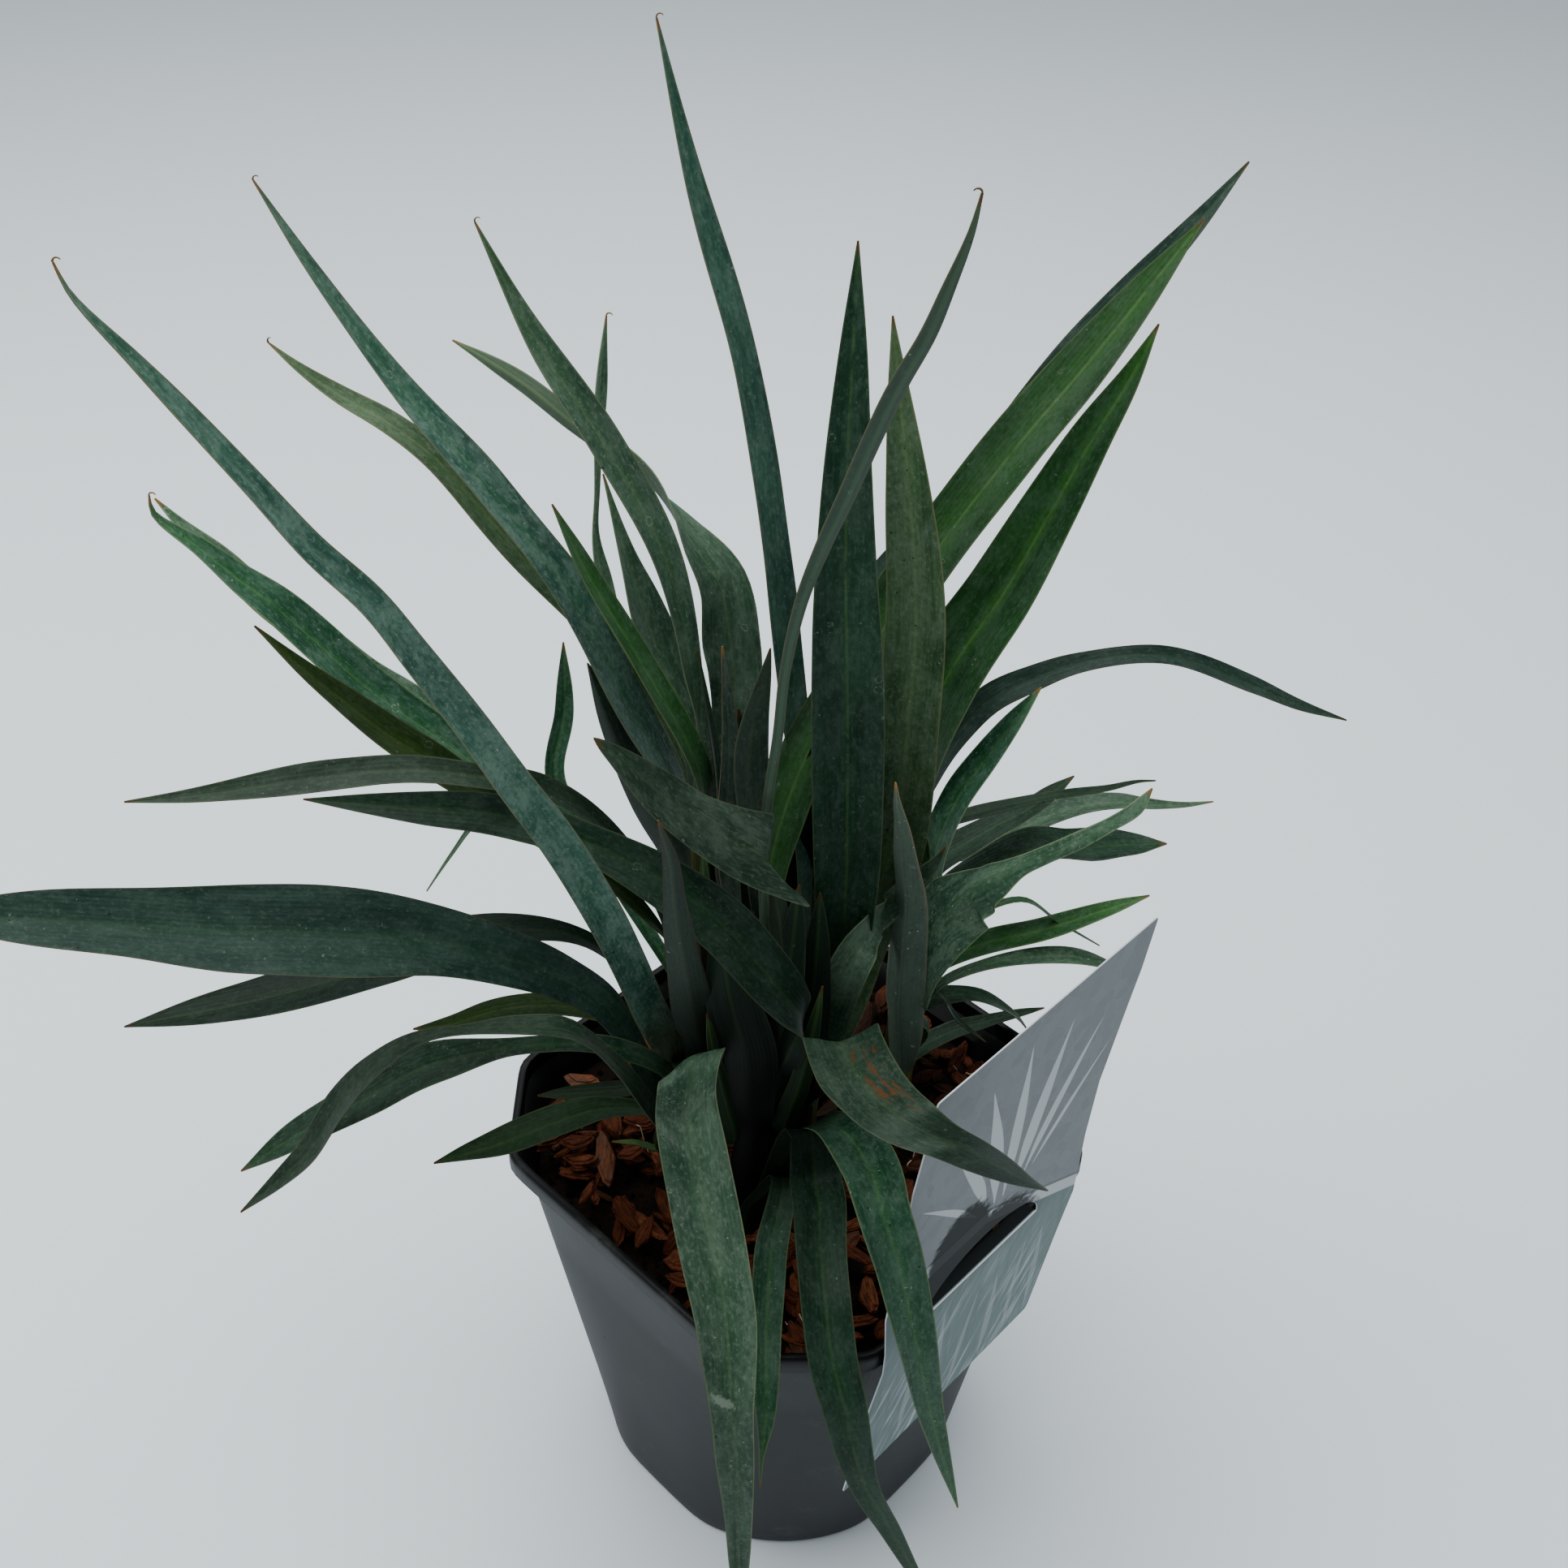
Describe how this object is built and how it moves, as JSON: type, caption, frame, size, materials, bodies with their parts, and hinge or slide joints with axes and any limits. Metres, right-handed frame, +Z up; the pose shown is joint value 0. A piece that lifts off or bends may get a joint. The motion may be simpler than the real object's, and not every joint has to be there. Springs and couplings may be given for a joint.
{
  "type": "potted flax lily plant",
  "caption": "Flax lily with arching strap leaves growing in a square-round tapered nursery pot with bark mulch and a plastic plant label on its rim.",
  "frame": {"origin": "centre of the pot's underside", "axes": "+Z up, -Y towards the viewer of the picture, +X to the viewer's right; the pot's flat sides face +X-Y, -X-Y and their opposites"},
  "size_m": [0.4084, 0.2369, 0.5192],
  "materials": {
    "pot_plastic": "satin charcoal moulded plastic, scuffed and dusty",
    "label_plastic": "printed plastic sheet in greys, white and pale blue-green",
    "potting_mix": "dark moist composted bark and peat",
    "bark": "loose red-brown pine bark chips",
    "leaf_sheath": "folded yellow-green leaf sheaths",
    "leaf_deep_green": "waxy deep blue-green blade",
    "leaf_bright_green": "waxy bright green blade",
    "leaf_blue_grey": "bloomed blue-grey blade with brown margins",
    "leaf_grey_green": "grey-green blade, speckled",
    "leaf_pale_green": "pale grey-green blade",
    "leaf_purple": "dark purplish blade",
    "leaf_olive": "olive blade with brown spots"
  },
  "bodies": {
    "root": {"back_broad": "leaf_grey_green", "back_thin": "leaf_grey_green", "bark_mulch": "bark", "big_left": "leaf_blue_grey", "centre_dark": "leaf_deep_green", "centre_folded": "leaf_grey_green", "centre_pale": "leaf_pale_green", "dark_left": "leaf_deep_green", "far_left": "leaf_blue_grey", "front_centre": "leaf_deep_green", "front_folded": "leaf_grey_green", "front_left": "leaf_grey_green", "front_right": "leaf_deep_green", "front_second": "leaf_deep_green", "grey_inner": "leaf_grey_green", "left_arc_dark": "leaf_deep_green", "left_arc_upper": "leaf_grey_green", "left_below": "leaf_deep_green", "left_bright": "leaf_bright_green", "left_brown_tip": "leaf_olive", "left_drooping": "leaf_deep_green", "left_low_bright": "leaf_bright_green", "left_low_broad": "leaf_bright_green", "left_olive": "leaf_olive", "left_pair_lower": "leaf_deep_green", "left_pair_upper": "leaf_grey_green", "left_stub": "leaf_grey_green", "left_twisted": "leaf_grey_green", "narrow_arch": "leaf_blue_grey", "plant_label": "label_plastic", "pot": "pot_plastic", "potting_mix": "potting_mix", "purple_back": "leaf_purple", "purple_left": "leaf_purple", "right_arch": "leaf_blue_grey", "right_behind": "leaf_deep_green", "right_bright": "leaf_bright_green", "right_curved": "leaf_deep_green", "right_flat": "leaf_deep_green", "right_keeled": "leaf_purple", "right_low": "leaf_deep_green", "right_mid": "leaf_bright_green", "right_slender": "leaf_deep_green", "right_small": "leaf_deep_green", "right_speckled": "leaf_grey_green", "right_top": "leaf_blue_grey", "right_torn": "leaf_deep_green", "right_upper": "leaf_bright_green", "rim_arc": "leaf_deep_green", "rim_low": "leaf_deep_green", "shoot_back": "leaf_sheath", "shoot_centre": "leaf_sheath", "shoot_left": "leaf_sheath", "shoot_main": "leaf_sheath", "shoot_right": "leaf_sheath", "tall_back": "leaf_blue_grey", "upper_left_inner": "leaf_grey_green", "upper_left_long": "leaf_blue_grey", "upper_left_pale": "leaf_pale_green", "upper_left_twist": "leaf_grey_green"}
  },
  "joints": []
}
